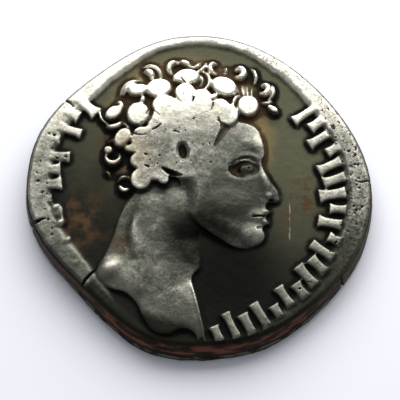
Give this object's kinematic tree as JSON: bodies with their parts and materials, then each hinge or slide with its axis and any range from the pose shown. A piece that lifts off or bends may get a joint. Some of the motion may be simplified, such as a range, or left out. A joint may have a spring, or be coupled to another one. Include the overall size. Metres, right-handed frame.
{
  "type": "silver denarius coin",
  "caption": "Worn ancient silver coin with a raised portrait bust in profile, rows of border strokes and a standing figure on its underside.",
  "frame": {"origin": "middle of the coin's outline, on the surface that it rests on", "axes": "+Z out of the obverse, through the thickness; +Y towards the top of the bust's head; +X the way the bust faces"},
  "size_m": [0.018, 0.0176, 0.002],
  "materials": {
    "toned_silver": "worn debased silver, bright grey on the rubbed high points, olive-black toning in the field, warm brown toning round the hair, copper red on the lower edge"
  },
  "bodies": {
    "root": {"coin": "toned_silver"}
  },
  "joints": []
}
